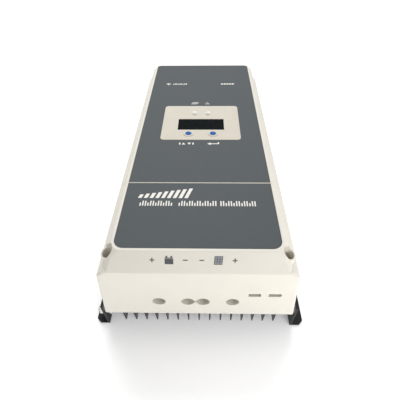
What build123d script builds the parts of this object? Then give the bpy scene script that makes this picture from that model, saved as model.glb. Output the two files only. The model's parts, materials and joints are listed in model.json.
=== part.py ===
from build123d import *
import math
import os

# A wall-mounted solar charge controller, in millimetres, +Z up.
# The origin is the centre of the surface that it is screwed to, under the middle of the object.
# +X is to the right and +Y runs from the cable entries to the top end, seen with the display in front.

# Overall size
LENGTH = 394.0
WIDTH = 242.0
HEIGHT = 141.0
FRONT_Y = -LENGTH / 2
REAR_Y = LENGTH / 2

# Casing: flared side walls, sloped shoulders, a raised top and a sloped lip above the cable entries
CASING_BOTTOM_Z = 42.0
CASING_BOTTOM_HALF = 101.0
SHOULDER_Z = 116.5
SHOULDER_HALF = 92.5
RAISED_FOOT_Z = 123.0
RAISED_FOOT_HALF = 85.0
RAISED_EDGE_Z = 135.4
RAISED_EDGE_HALF = 83.2
RAISED_TOP_HALF = 77.6
RAISED_TOP_R = 12.0
RAISED_EDGE_R = 10.0
RAISED_FOOT_R = 4.0
RAISED_REAR_R = 8.0
LIP_RIDGE_Z = 122.0
LIP_RUN = 11.0
LIP_OVERLAP = 0.3
SHOULDER_R = 4.0
RIDGE_R = 2.0
TOP_EDGE_R = 1.0
END_EDGE_R = 2.5
WALL = 3.0
SEAM = 0.4
SPLIT_Y = FRONT_Y + 98.6
TONGUE_LENGTH = 4.0
TONGUE_WALL = 1.8
BULKHEAD_Y = SPLIT_Y + SEAM / 2

# Printed panel sheets, set into shallow pockets in the raised top
PANEL_HALF = 75.5
PANEL_POCKET = 0.9
PANEL_SHEET = 0.5
PANEL_FRONT_Y = FRONT_Y + 13.8
PANEL_REAR_Y = REAR_Y - 1.6
PANEL_SPLIT_RIM = 0.5
PANEL_FRONT_R = 9.5
PANEL_REAR_R = 6.5
PANEL_SPLIT_R = 0.6
PANEL_GAP = 0.1

# Heatsink
PLATE_BOTTOM_Z = 33.0
PLATE_TOP_Z = 41.0
PLATE_MID_Z = (PLATE_BOTTOM_Z + PLATE_TOP_Z) / 2
PLATE_HALF = 105.4
PLATE_FRONT_Y = FRONT_Y + 6.2
PLATE_REAR_Y = REAR_Y - 1.0
FIN_COUNT = 15
FIN_PITCH = 12.3
FIN_TIP_Z = 3.5
FIN_ROOT = 3.4
FIN_TIP = 1.3
FIN_FRONT_Y = FRONT_Y + 9.4
FIN_REAR_Y = REAR_Y - 4.0

# Mounting rails
RAIL_SHEET = 2.5
RAIL_WALL_X = 105.5
RAIL_OUTER_X = WIDTH / 2
RAIL_LENGTH = 381.6
RAIL_CHAMFER = 4.5
MOUNT_HOLE_X = 114.0
MOUNT_HOLE_SPACING_Y = 300.0
MOUNT_HOLE_R = 3.5
RAIL_SCREW_YS = (-160.0, -60.0, 60.0, 160.0)
RAIL_SCREW_TIP_X = 92.0
RAIL_HOLE_END_X = 90.0

# Earth bolt on the left rail
GROUND_Y = FRONT_Y + 17.0
GROUND_Z = 14.0
GROUND_BOLT_R = 3.0
GROUND_BOLT_LENGTH = 10.0
GROUND_THREAD_PITCH = 1.0
GROUND_THREAD_DEPTH = 0.35
GROUND_HEAD = 4.0
GROUND_NUT = 5.0
GROUND_FLATS = 10.0
WASHER = 1.2
WASHER_GAP = 0.1
FLAT_WASHER_R = 6.2
LOCK_WASHER_R = 5.4

# Screws
M4_SHANK_R = 2.0
M4_HOLE_R = 2.1
M4_HEAD_R = 3.8
M4_HEAD = 2.4
M3_SHANK_R = 1.5
M3_HOLE_R = 1.6
M3_HEAD_R = 2.8
M3_HEAD = 1.8
DRIVE_SOCKET_R = 1.3
STANDOFF_FLATS = 6.0

# Removable terminal cover
CABLE_XS = (-39.8, -10.7, 4.7, 34.4)
CABLE_Z = 68.5
CABLE_R = 6.75
COLLAR_R = 8.9
COLLAR_DEPTH = 9.0
LINK_SLOT = 3.0
SIGNAL_SLOTS = ((49.2, 61.4), (68.7, 81.3))
SIGNAL_SLOT_Z0 = 80.5
SIGNAL_SLOT_Z1 = 86.0
COVER_SCREW_X = 81.75
COVER_SCREW_Y = FRONT_Y + 14.9
WELL_R = 4.8
WELL_RIM_R = 6.3
WELL_RIM_Z = 132.5
WELL_RIM_FALL = 17.0
WELL_RIM_RISE = 13.5
COVER_BOSS_R = 8.0
COVER_BOSS_Z = 91.2
COVER_LEDGE_Z = 95.0
COVER_POST_R = 4.0
COVER_POST_TOP_Z = 91.0
COVER_SCREW_TIP_Z = 72.0
COVER_THREAD_R = 2.08
COVER_HEAD_EDGE_R = 1.0
COVER_HEAD = 4.0
CROSS_LENGTH = 5.0
CROSS_WIDTH = 1.1
CROSS_DEPTH = 2.2

# Display bezel, with facets that slope down to the window
BEZEL_HALF = 50.0
BEZEL_FRONT_Y = FRONT_Y + 176.7
BEZEL_REAR_Y = FRONT_Y + 257.3
BEZEL_R = 4.5
BEZEL_RIM = 1.3
BEZEL_BOTTOM_Z = 134.0
FACET_DEPTH = 5.0
FACET_MARGIN = 0.8
WINDOW_HALF = 30.5
WINDOW_FRONT_Y = FRONT_Y + 205.8
WINDOW_REAR_Y = FRONT_Y + 231.9
LENS_TOP_Z = 135.4
LENS_THICKNESS = 1.8
LENS_MARGIN = 2.4
LCD = 2.2
LCD_GAP = 0.3
LCD_MARGIN = 2.0
BEZEL_FLANGE = 3.5
BUTTON_XS = (-15.5, 15.5)
BUTTON_Y = FRONT_Y + 191.5
BUTTON_R = 3.8
BUTTON_GAP = 0.25
BUTTON_COLLAR_R = 5.9
BUTTON_COLLAR_Z = 140.2
BUTTON_FLANGE_R = 4.9
BUTTON_FLANGE_Z = 132.4
BUTTON_FLANGE = 1.2
BUTTON_DOME_EDGE_Z = 140.0
LIGHT_XS = (-9.0, 9.0)
LIGHT_Y = FRONT_Y + 243.0
LIGHT_R = 1.2
LIGHT_TOP_Z = 138.9
LIGHT_RING_R = 2.9
LIGHT_RING_TOP_Z = 139.5
LIGHT_RING_BOTTOM_Z = 135.5
LIGHT_DISH = 0.7
SWITCH_HALF = 3.0
SWITCH_BODY = 3.3
SWITCH_STEM_R = 1.7
SWITCH_GAP = 0.9
LAMP_HALF = 1.6
LAMP = 2.0

# Display electronics
DISPLAY_BOARD_Z = 126.0
BOARD = 1.6
DISPLAY_BOSS_XS = (-60.0, 60.0)
DISPLAY_BOSS_YS = (FRONT_Y + 183.0, FRONT_Y + 251.0)
DISPLAY_BOSS_R = 4.0
DISPLAY_HOLE_DEPTH = 9.0
DISPLAY_BOARD_MARGIN_X = 4.0
DISPLAY_BOARD_MARGIN_Y = 5.0
DISPLAY_RIBBON_X = -20.0
DISPLAY_RIBBON_Y = FRONT_Y + 266.0
RIBBON_HALF = 8.0
RIBBON = 0.8
RIBBON_LAP = 8.0

# Power electronics
MAIN_BOARD_HALF = 70.0
MAIN_BOARD_FRONT_Y = FRONT_Y + 108.0
MAIN_BOARD_REAR_Y = REAR_Y - 14.0
MAIN_BOARD_Z = 49.0
MAIN_BOARD = 2.0
MAIN_BOARD_TOP_Z = MAIN_BOARD_Z + MAIN_BOARD
STANDOFF_XS = (-64.0, 64.0)
STANDOFF_YS = (-80.0, 40.0, 176.0)
HOUSING_SCREW_X = 92.0
HOUSING_SCREW_YS = (-86.0, 50.0, 186.0)
HOUSING_SCREW_TIP_Z = 56.0
HOUSING_HOLE_TOP_Z = 60.0
HOUSING_BOSS_TOP_Z = 66.0
HOUSING_BOSS_R = 5.0
GASKET_HALF = 100.0
GASKET_WIDTH = 3.4
GASKET_R = 2.0
TRANSISTOR_YS = (-50.0, -15.0, 90.0, 125.0)
CLAMP_SCREW_YS = (-32.0, 34.0, 108.0)
PAD = 0.4
PAD_MARGIN = 1.0
PACKAGE = 5.0
PACKAGE_X0 = 79.0
PACKAGE_X1 = 95.0
PACKAGE_HALF = 8.0
LEAD_X = 66.5
LEAD_PITCH = 5.4
LEAD_WIDTH = 1.2
LEAD = 0.7
LEAD_HEIGHT = 2.0
CLAMP_X = 87.0
CLAMP_Z0 = PLATE_TOP_Z + PAD + PACKAGE
CLAMP = 3.0
CLAMP_HALF = 3.5
CLAMP_OVERHANG = 10.0
CLAMP_RELIEF_R = 6.5
INDUCTOR_CENTRES = ((-36.0, -10.0), (36.0, -10.0), (36.0, 130.0))
CORE_OUTER_R = 27.0
CORE_INNER_R = 15.0
CORE_HEIGHT = 26.0
WINDING = 3.0
CAPACITOR_R = 15.0
CAPACITOR_HEIGHT = 50.0
CAPACITOR_EDGE_R = 1.5
CAPACITOR_XS = (-44.0, -10.0)
CAPACITOR_YS = (52.0, 86.0, 124.0)

# Rising-clamp terminals behind the cable entries
POLE_XS = CABLE_XS
TERMINAL_X0 = -50.0
TERMINAL_X1 = 44.6
TERMINAL_FRONT_Y = FRONT_Y + 38.0
TERMINAL_REAR_Y = FRONT_Y + 76.0
TERMINAL_TOP_Z = 99.0
TERMINAL_CORNER_R = 2.0
MOUTH_HALF = 5.6
MOUTH_TOP_Z = 78.0
POCKET_HALF = 6.8
POCKET_FRONT_Y = TERMINAL_FRONT_Y + 3.0
POCKET_Z0 = 54.0
POCKET_Z1 = 92.2
CAGE_HALF = 6.4
CAGE_FRONT_Y = TERMINAL_FRONT_Y + 6.0
CAGE_REAR_Y = CAGE_FRONT_Y + 14.0
SCREW_Y = (CAGE_FRONT_Y + CAGE_REAR_Y) / 2
CAGE_Z0 = 57.0
CAGE_Z1 = 83.0
CAGE_FLOOR = 3.0
CAGE_NUT = 6.0
CAGE_WALL = 1.2
BAR_Z0 = 74.0
BAR_Z1 = 77.0
BAR_HALF = 4.8
BAR_DROP_Y = FRONT_Y + 116.0
BUS_SLOT_HALF = 6.5
BUS_SLOT_GAP = 2.0
TERMINAL_SCREW_R = 4.0
TERMINAL_SCREW_GAP = 0.05
TERMINAL_HEAD_R = 5.5
TERMINAL_HEAD_Z = 92.4
TERMINAL_HEAD = 6.0
TERMINAL_EDGE_R = 0.6
TERMINAL_SOCKET_FLATS = 5.0
TERMINAL_SOCKET_DEPTH = 4.0

# Signal connections beside the terminals
SIGNAL_BOARD_Z = 62.0
SIGNAL_BOARD_TOP_Z = SIGNAL_BOARD_Z + BOARD
SIGNAL_X0 = 47.0
SIGNAL_X1 = 90.0
SIGNAL_Y0 = FRONT_Y + 50.0
SIGNAL_Y1 = FRONT_Y + 88.0
SIGNAL_POSTS = ((51.0, SIGNAL_Y1 - 5), (86.0, SIGNAL_Y1 - 5), (86.0, SIGNAL_Y0 + 22))
SIGNAL_HOLE_DEPTH = 7.0
JACK_X = 75.0
JACK_HALF = 8.0
JACK_DEPTH = 16.0
JACK_HEIGHT = 13.4
JACK_MOUTH_HALF = 5.9
JACK_MOUTH_DEPTH = 13.0
JACK_LATCH_HALF = 3.0
JACK_MOUTH_Z0 = 2.2
JACK_MOUTH_Z1 = 9.0
JACK_LATCH_Z1 = 11.4
SENSOR_X = 55.3
SENSOR_HALF = 5.6
SENSOR_DEPTH = 10.0
SENSOR_HEIGHT = 9.0
SENSOR_WIRE_HALF = 1.5
SENSOR_WIRE_DEPTH = 7.0
SENSOR_WIRE_Z0 = 2.0
SENSOR_WIRE_Z1 = 5.0
SENSOR_SCREW_R = 1.4
SENSOR_POLE_OFFSET = 2.6
SIGNAL_RIBBON_X = 58.0
SIGNAL_RIBBON_DROP_Y = BULKHEAD_Y + WALL + 8.0
RIBBON_SLOT_TOP = 8.0


def block(x0, x1, y0, y1, z0, z1):
    """A box between two opposite corners."""
    return Pos((x0 + x1) / 2, (y0 + y1) / 2, (z0 + z1) / 2) * Box(x1 - x0, y1 - y0, z1 - z0)


def sheet(x0, x1, y0, y1, z0, z1, radius):
    """A flat plate with rounded corners."""
    outline = Pos((x0 + x1) / 2, (y0 + y1) / 2, z0) * RectangleRounded(x1 - x0, y1 - y0, radius)
    return extrude(outline, z1 - z0)


def post(x, y, z0, z1, radius):
    """An upright cylinder."""
    return Pos(x, y, (z0 + z1) / 2) * Cylinder(radius, z1 - z0)


def rod_x(x0, x1, y, z, radius):
    """A cylinder that lies along X."""
    return Pos((x0 + x1) / 2, y, z) * Rot(0, 90, 0) * Cylinder(radius, abs(x1 - x0))


def rod_y(x, y0, y1, z, radius):
    """A cylinder that lies along Y."""
    return Pos(x, (y0 + y1) / 2, z) * Rot(90, 0, 0) * Cylinder(radius, abs(y1 - y0))


def hexagon_post(x, y, z0, z1, across_flats):
    """An upright hexagonal bar."""
    outline = Pos(x, y, z0) * RegularPolygon(across_flats / math.sqrt(3), 6)
    return extrude(outline, z1 - z0)


def hexagon_x(x0, x1, y, z, across_flats):
    """A hexagonal bar that lies along X."""
    outline = Plane.YZ * RegularPolygon(across_flats / math.sqrt(3), 6)
    return Pos(x0, y, z) * extrude(outline, x1 - x0)


def tube(x, y, z0, z1, outer_r, inner_r):
    """An upright ring."""
    return post(x, y, z0, z1, outer_r) - post(x, y, z0 - 1, z1 + 1, inner_r)


def end_rounded(body, axis, radius, end=-1):
    """A turned part with its last edge along an axis rounded, or its first edge with end=0."""
    rim = body.edges().filter_by(GeomType.CIRCLE).sort_by(axis)[end]
    return fillet(rim, radius)


def rounded_outline(half, y0, y1, front_r, rear_r):
    """An outline across the object with its own corner radius in front and behind."""
    middle = (y0 + y1) / 2
    outline = Pos(0, middle) * Rectangle(2 * half, y1 - y0)
    outline = fillet(outline.vertices().filter_by(lambda v: v.Y < middle), front_r)
    return fillet(outline.vertices().filter_by(lambda v: v.Y > middle), rear_r)


def joined(pieces):
    """All the pieces in one shape. Pieces that don't touch stay separate solids."""
    pieces = list(pieces)
    return pieces[0] + pieces[1:] if len(pieces) > 1 else pieces[0]


def wall_half(z):
    """Half width of the casing's flared side walls at a height."""
    share = (z - CASING_BOTTOM_Z) / (SHOULDER_Z - CASING_BOTTOM_Z)
    return CASING_BOTTOM_HALF + share * (SHOULDER_HALF - CASING_BOTTOM_HALF)


def raised_half(z):
    """Half width of the raised part's steep side at a height."""
    share = (z - RAISED_FOOT_Z) / (RAISED_EDGE_Z - RAISED_FOOT_Z)
    return RAISED_FOOT_HALF + share * (RAISED_EDGE_HALF - RAISED_FOOT_HALF)


def lip_y(z):
    """Where the sloped lip reaches a height."""
    return FRONT_Y + LIP_RUN * (z - LIP_RIDGE_Z) / (HEIGHT - LIP_RIDGE_Z)


def casing_form(inset=0.0):
    """The casing as one solid form, drawn in by inset on all sides but the open bottom."""
    bottom = CASING_BOTTOM_Z - inset
    right = [
        (wall_half(bottom) - inset, bottom),
        (SHOULDER_HALF - inset, SHOULDER_Z - inset * 0.4),
        (RAISED_FOOT_HALF - inset * 0.6, RAISED_FOOT_Z - inset),
    ]
    left = [(-x, z) for x, z in reversed(right)]
    outline = Plane.XZ * Polygon(*right, *left, align=None)
    shoulders = outline.vertices().filter_by(lambda v: abs(abs(v.X) - SHOULDER_HALF + inset) < 0.01)
    outline = fillet(shoulders, SHOULDER_R)
    lower = Pos(0, REAR_Y - inset, 0) * extrude(outline, LENGTH - 2 * inset)
    if inset == 0:
        ends = lower.faces().filter_by(Axis.Y)
        corners = [e for face in ends for e in face.edges() if abs(e.center().X) > 1]
        lower = fillet(corners, END_EDGE_R)

    levels = [
        (RAISED_FOOT_Z - inset - 4, raised_half(RAISED_FOOT_Z - 4), RAISED_FOOT_R),
        (RAISED_EDGE_Z - inset, RAISED_EDGE_HALF, RAISED_EDGE_R),
        (HEIGHT - inset, RAISED_TOP_HALF, RAISED_TOP_R),
    ]
    outlines = []
    for z, half, radius in levels:
        front_y = lip_y(z + inset) - LIP_OVERLAP + inset
        outline = rounded_outline(half - inset, front_y, REAR_Y - inset, radius, RAISED_REAR_R)
        outlines.append(Pos(0, 0, z) * outline)
    raised = loft(outlines, ruled=True)

    side = Polygon(
        (FRONT_Y, CASING_BOTTOM_Z),
        (FRONT_Y, LIP_RIDGE_Z),
        (FRONT_Y + LIP_RUN, HEIGHT),
        (REAR_Y, HEIGHT),
        (REAR_Y, CASING_BOTTOM_Z),
        align=None,
    )
    if inset == 0:
        side = fillet(side.vertices().filter_by(lambda v: abs(v.Y - LIP_RIDGE_Z) < 0.01), RIDGE_R)
        side = fillet(side.vertices().filter_by(lambda v: abs(v.X - FRONT_Y - LIP_RUN) < 0.01), RIDGE_R)
        side = fillet(side.vertices().filter_by(lambda v: v.X > 0 and v.Y > HEIGHT - 1), TOP_EDGE_R)
    else:
        side = offset(side, -inset, kind=Kind.INTERSECTION)
        floor_z = CASING_BOTTOM_Z
        side = side + Pos(0, floor_z, 0) * Rectangle(LENGTH - 2 * inset, 2 * inset + 1)
    prism = extrude(Plane.YZ * side, WIDTH / 2, both=True)
    return (lower + raised) & prism


def whole_width(y0, y1):
    """A block as wide and tall as the object, between two places along its length."""
    return block(-WIDTH, WIDTH, y0, y1, -1, HEIGHT + 1)


# ---- Heatsink and rails ----

def make_heatsink():
    """Base plate with a row of tapered cooling fins under it."""
    plate = block(-PLATE_HALF, PLATE_HALF, PLATE_FRONT_Y, PLATE_REAR_Y, PLATE_BOTTOM_Z, PLATE_TOP_Z)
    root_z = PLATE_BOTTOM_Z + 0.5
    fin = Plane.XZ * Polygon(
        (-FIN_ROOT / 2, root_z),
        (-FIN_TIP / 2, FIN_TIP_Z),
        (FIN_TIP / 2, FIN_TIP_Z),
        (FIN_ROOT / 2, root_z),
        align=None,
    )
    fin = Pos(0, FIN_REAR_Y, 0) * extrude(fin, FIN_REAR_Y - FIN_FRONT_Y)
    first_x = -FIN_PITCH * (FIN_COUNT - 1) / 2
    body = plate + [Pos(first_x + i * FIN_PITCH, 0, 0) * fin for i in range(FIN_COUNT)]
    holes = []
    for side in (-1, 1):
        for y in RAIL_SCREW_YS:
            holes.append(rod_x(side * RAIL_HOLE_END_X, side * (PLATE_HALF + 1), y, PLATE_MID_Z, M4_HOLE_R))
        for y in HOUSING_SCREW_YS:
            holes.append(post(side * HOUSING_SCREW_X, y, PLATE_BOTTOM_Z - 1, PLATE_TOP_Z + 1, M4_HOLE_R))
        for y in CLAMP_SCREW_YS:
            holes.append(post(side * CLAMP_X, y, PLATE_TOP_Z - 6, PLATE_TOP_Z + 1, M3_HOLE_R))
    return body - holes


def make_rail(side):
    """Sheet-steel rail: a wall against the heatsink and a foot with two mounting holes."""
    wall_x = side * RAIL_WALL_X
    outer_x = side * RAIL_OUTER_X
    sheet_x = side * (RAIL_WALL_X + RAIL_SHEET)
    half = RAIL_LENGTH / 2
    wall = block(*sorted((wall_x, sheet_x)), -half, half, 0, PLATE_TOP_Z)
    outline = Polygon(
        (wall_x, -half),
        (outer_x - side * RAIL_CHAMFER, -half),
        (outer_x, -half + RAIL_CHAMFER),
        (outer_x, half - RAIL_CHAMFER),
        (outer_x - side * RAIL_CHAMFER, half),
        (wall_x, half),
        align=None,
    )
    foot = extrude(outline, RAIL_SHEET, dir=(0, 0, 1))
    rail = wall + foot
    holes = [rod_x(wall_x - side, sheet_x + side, y, PLATE_MID_Z, M4_HOLE_R + 0.2) for y in RAIL_SCREW_YS]
    for y in (-MOUNT_HOLE_SPACING_Y / 2, MOUNT_HOLE_SPACING_Y / 2):
        holes.append(post(side * MOUNT_HOLE_X, y, -1, RAIL_SHEET + 1, MOUNT_HOLE_R))
    if side < 0:
        holes.append(rod_x(wall_x + 1, sheet_x - 1, GROUND_Y, GROUND_Z, GROUND_BOLT_R + 0.2))
    return rail - holes


def make_rail_screws():
    """Button-head screws that hold the rails to the heatsink's edges."""
    screws = []
    for side in (-1, 1):
        seat_x = side * (RAIL_WALL_X + RAIL_SHEET)
        for y in RAIL_SCREW_YS:
            head = rod_x(seat_x, seat_x + side * M4_HEAD, y, PLATE_MID_Z, M4_HEAD_R)
            head = end_rounded(head, Axis.X, M4_HEAD / 2, end=-1 if side > 0 else 0)
            shank = rod_x(side * RAIL_SCREW_TIP_X, seat_x, y, PLATE_MID_Z, M4_SHANK_R)
            socket = rod_x(seat_x + side, seat_x + side * (M4_HEAD + 1), y, PLATE_MID_Z, DRIVE_SOCKET_R)
            screws.append(head + shank - socket)
    return joined(screws)


def make_ground_bolt():
    """Earth bolt: a hexagon head inside the left rail and a threaded end outside it."""
    wall_x = -RAIL_WALL_X
    tip_x = wall_x - RAIL_SHEET - GROUND_BOLT_LENGTH
    head = hexagon_x(wall_x, wall_x + GROUND_HEAD, GROUND_Y, GROUND_Z, GROUND_FLATS)
    shank = rod_x(tip_x, wall_x, GROUND_Y, GROUND_Z, GROUND_BOLT_R)
    groove = rod_x(0, GROUND_THREAD_PITCH / 2, GROUND_Y, GROUND_Z, GROUND_BOLT_R + 1)
    groove = groove - rod_x(-1, 1, GROUND_Y, GROUND_Z, GROUND_BOLT_R - GROUND_THREAD_DEPTH)
    visible = GROUND_BOLT_LENGTH - GROUND_NUT - 2 * (WASHER + WASHER_GAP)
    turns = int(visible / GROUND_THREAD_PITCH)
    grooves = [Pos(tip_x + (i + 0.5) * GROUND_THREAD_PITCH, 0, 0) * groove for i in range(turns)]
    return head + shank - grooves


def make_ground_washers():
    """A flat washer and a toothed washer on the earth bolt."""
    seat_x = -RAIL_WALL_X - RAIL_SHEET
    lock_x = seat_x - WASHER - WASHER_GAP
    flat = rod_x(seat_x - WASHER, seat_x, GROUND_Y, GROUND_Z, FLAT_WASHER_R)
    lock = rod_x(lock_x - WASHER, lock_x, GROUND_Y, GROUND_Z, LOCK_WASHER_R)
    bore = rod_x(lock_x - WASHER - 1, seat_x + 1, GROUND_Y, GROUND_Z, GROUND_BOLT_R + 0.15)
    return joined([flat - bore, lock - bore])


def make_ground_nut():
    """Hexagon nut that clamps the earth wire."""
    seat_x = -RAIL_WALL_X - RAIL_SHEET - 2 * (WASHER + WASHER_GAP)
    nut = hexagon_x(seat_x - GROUND_NUT, seat_x, GROUND_Y, GROUND_Z, GROUND_FLATS)
    bore = rod_x(seat_x - GROUND_NUT - 1, seat_x + 1, GROUND_Y, GROUND_Z, GROUND_BOLT_R + 0.1)
    return nut - bore


# ---- Upper housing ----

def upper_panel_form(thickness, gap=0.0):
    """The upper panel sheet, or its pocket, from the pocket's floor up."""
    y0 = SPLIT_Y + PANEL_SPLIT_RIM + gap
    outline = rounded_outline(PANEL_HALF - gap, y0, PANEL_REAR_Y - gap, PANEL_SPLIT_R, PANEL_REAR_R)
    return Pos(0, 0, HEIGHT - PANEL_POCKET) * extrude(outline, thickness)


def lower_panel_form(thickness, gap=0.0):
    """The terminal cover's panel sheet, or its pocket, from the pocket's floor up."""
    y1 = SPLIT_Y - PANEL_SPLIT_RIM - gap
    outline = rounded_outline(PANEL_HALF - gap, PANEL_FRONT_Y + gap, y1, PANEL_FRONT_R, PANEL_SPLIT_R)
    return Pos(0, 0, HEIGHT - PANEL_POCKET) * extrude(outline, thickness)


def bezel_opening(grow):
    """The opening for the display bezel in the top of the housing."""
    return sheet(
        -BEZEL_HALF - grow, BEZEL_HALF + grow, BEZEL_FRONT_Y - grow, BEZEL_REAR_Y + grow,
        HEIGHT - 12, HEIGHT + 2, BEZEL_R + grow,
    )


def make_upper_housing():
    """Moulded shell over the electronics, with a bulkhead towards the terminals."""
    shell = casing_form() & whole_width(BULKHEAD_Y, REAR_Y + 1)
    shell = shell - (casing_form(WALL) & whole_width(BULKHEAD_Y + WALL, REAR_Y + 1))
    tongue = casing_form(WALL + SEAM) & whole_width(BULKHEAD_Y - TONGUE_LENGTH, BULKHEAD_Y + 1)
    tongue = tongue - (casing_form(WALL + SEAM + TONGUE_WALL) & whole_width(FRONT_Y, BULKHEAD_Y + 2))
    tongue = tongue & block(-WIDTH, WIDTH, FRONT_Y, REAR_Y, CASING_BOTTOM_Z, HEIGHT)
    shell = shell + tongue
    bosses = []
    for side in (-1, 1):
        for y in HOUSING_SCREW_YS:
            x = side * HOUSING_SCREW_X
            bosses.append(post(x, y, CASING_BOTTOM_Z, HOUSING_BOSS_TOP_Z, HOUSING_BOSS_R))
    for x in DISPLAY_BOSS_XS:
        for y in DISPLAY_BOSS_YS:
            bosses.append(post(x, y, DISPLAY_BOARD_Z + BOARD, HEIGHT - WALL + 0.5, DISPLAY_BOSS_R))
    shell = shell + (joined(bosses) & casing_form())
    cuts = [upper_panel_form(PANEL_POCKET + 1), bezel_opening(0.15)]
    for side in (-1, 1):
        for y in HOUSING_SCREW_YS:
            cuts.append(post(side * HOUSING_SCREW_X, y, CASING_BOTTOM_Z - 1, HOUSING_HOLE_TOP_Z, M4_HOLE_R))
    for x in DISPLAY_BOSS_XS:
        for y in DISPLAY_BOSS_YS:
            cuts.append(post(x, y, DISPLAY_BOARD_Z, DISPLAY_BOARD_Z + DISPLAY_HOLE_DEPTH, M3_HOLE_R))
    y0 = BULKHEAD_Y - 1
    y1 = BULKHEAD_Y + WALL + 1
    for x in POLE_XS:
        cuts.append(block(x - BUS_SLOT_HALF, x + BUS_SLOT_HALF, y0, y1,
                          BAR_Z0 - BUS_SLOT_GAP, BAR_Z1 + BUS_SLOT_GAP))
    ribbon_slot_half = RIBBON_HALF + 1
    cuts.append(block(SIGNAL_RIBBON_X - ribbon_slot_half, SIGNAL_RIBBON_X + ribbon_slot_half, y0, y1,
                      SIGNAL_BOARD_Z - 2, SIGNAL_BOARD_Z + RIBBON_SLOT_TOP))
    return shell - cuts


def make_upper_panel():
    """Printed sheet on the upper housing, with the opening for the display bezel."""
    return upper_panel_form(PANEL_SHEET, PANEL_GAP) - bezel_opening(0.3)


def make_housing_gasket():
    """Flat rubber seal between the upper housing and the heatsink."""
    y0 = BULKHEAD_Y
    y1 = PLATE_REAR_Y
    inner_half = GASKET_HALF - GASKET_WIDTH
    outer = sheet(-GASKET_HALF, GASKET_HALF, y0, y1, PLATE_TOP_Z, CASING_BOTTOM_Z, GASKET_R)
    inner = sheet(-inner_half, inner_half, y0 + GASKET_WIDTH, y1 - GASKET_WIDTH,
                  PLATE_TOP_Z - 1, CASING_BOTTOM_Z + 1, GASKET_R / 2)
    ears = joined(
        post(side * HOUSING_SCREW_X, y, PLATE_TOP_Z, CASING_BOTTOM_Z, HOUSING_BOSS_R)
        for side in (-1, 1) for y in HOUSING_SCREW_YS
    )
    holes = [
        post(side * HOUSING_SCREW_X, y, PLATE_TOP_Z - 1, CASING_BOTTOM_Z + 1, M4_HOLE_R)
        for side in (-1, 1) for y in HOUSING_SCREW_YS
    ]
    return (outer - inner) + ears - holes


def make_housing_screws():
    """Screws from under the heatsink plate into the housing's bosses."""
    screws = []
    for side in (-1, 1):
        for y in HOUSING_SCREW_YS:
            x = side * HOUSING_SCREW_X
            head = post(x, y, PLATE_BOTTOM_Z - M4_HEAD, PLATE_BOTTOM_Z, M4_HEAD_R - 0.3)
            socket = post(x, y, PLATE_BOTTOM_Z - M4_HEAD - 1, PLATE_BOTTOM_Z - 1, DRIVE_SOCKET_R)
            shank = post(x, y, PLATE_BOTTOM_Z, HOUSING_SCREW_TIP_Z, M4_SHANK_R)
            screws.append(head + shank - socket)
    return joined(screws)


# ---- Display ----

def make_display_bezel():
    """Picture frame: a thin rim, four facets that slope to the window, and collars for the buttons."""
    body = sheet(-BEZEL_HALF, BEZEL_HALF, BEZEL_FRONT_Y, BEZEL_REAR_Y, BEZEL_BOTTOM_Z, HEIGHT, BEZEL_R)
    flange_top = HEIGHT - WALL - 0.1
    flange = sheet(
        -BEZEL_HALF - BEZEL_FLANGE, BEZEL_HALF + BEZEL_FLANGE, BEZEL_FRONT_Y - BEZEL_FLANGE,
        BEZEL_REAR_Y + BEZEL_FLANGE, flange_top - 2, flange_top, BEZEL_R,
    )
    body = body + flange
    facet_z = HEIGHT - FACET_DEPTH
    rim_outline = Pos(0, (BEZEL_FRONT_Y + BEZEL_REAR_Y) / 2, HEIGHT) * Rectangle(
        2 * (BEZEL_HALF - BEZEL_RIM), BEZEL_REAR_Y - BEZEL_FRONT_Y - 2 * BEZEL_RIM
    )
    window_outline = Pos(0, (WINDOW_FRONT_Y + WINDOW_REAR_Y) / 2, facet_z) * Rectangle(
        2 * (WINDOW_HALF + FACET_MARGIN), WINDOW_REAR_Y - WINDOW_FRONT_Y + 2 * FACET_MARGIN
    )
    facets = loft([window_outline, rim_outline])
    for x in BUTTON_XS:
        facets = facets - post(x, BUTTON_Y, BEZEL_BOTTOM_Z, BUTTON_COLLAR_Z, BUTTON_COLLAR_R)
    window = block(-WINDOW_HALF, WINDOW_HALF, WINDOW_FRONT_Y, WINDOW_REAR_Y, BEZEL_BOTTOM_Z - 1, HEIGHT)
    lens_seat = block(
        -WINDOW_HALF - LENS_MARGIN, WINDOW_HALF + LENS_MARGIN, WINDOW_FRONT_Y - LENS_MARGIN,
        WINDOW_REAR_Y + LENS_MARGIN, BEZEL_BOTTOM_Z - 1, LENS_TOP_Z,
    )
    cuts = [facets, window, lens_seat]
    for x in BUTTON_XS:
        cuts.append(post(x, BUTTON_Y, BEZEL_BOTTOM_Z - 1, HEIGHT, BUTTON_R + BUTTON_GAP))
    for x in LIGHT_XS:
        cuts.append(post(x, LIGHT_Y, BEZEL_BOTTOM_Z - 1, LIGHT_RING_BOTTOM_Z + 1, LIGHT_R + 0.1))
        cuts.append(post(x, LIGHT_Y, LIGHT_RING_BOTTOM_Z, HEIGHT, LIGHT_RING_R + 0.05))
    return body - cuts


def make_display_window():
    """Clear window behind the bezel's opening."""
    margin = LENS_MARGIN - 0.1
    return block(
        -WINDOW_HALF - margin, WINDOW_HALF + margin, WINDOW_FRONT_Y - margin, WINDOW_REAR_Y + margin,
        LENS_TOP_Z - LENS_THICKNESS, LENS_TOP_Z,
    )


def lcd_layer(z0, z1):
    """A flat layer of the display under the window."""
    half = WINDOW_HALF + LCD_MARGIN
    return block(-half, half, WINDOW_FRONT_Y - LCD_MARGIN / 2, WINDOW_REAR_Y + LCD_MARGIN / 2, z0, z1)


def make_lcd_glass():
    """Liquid-crystal cell under the window."""
    top = LENS_TOP_Z - LENS_THICKNESS - LCD_GAP
    return lcd_layer(top - LCD, top)


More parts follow.
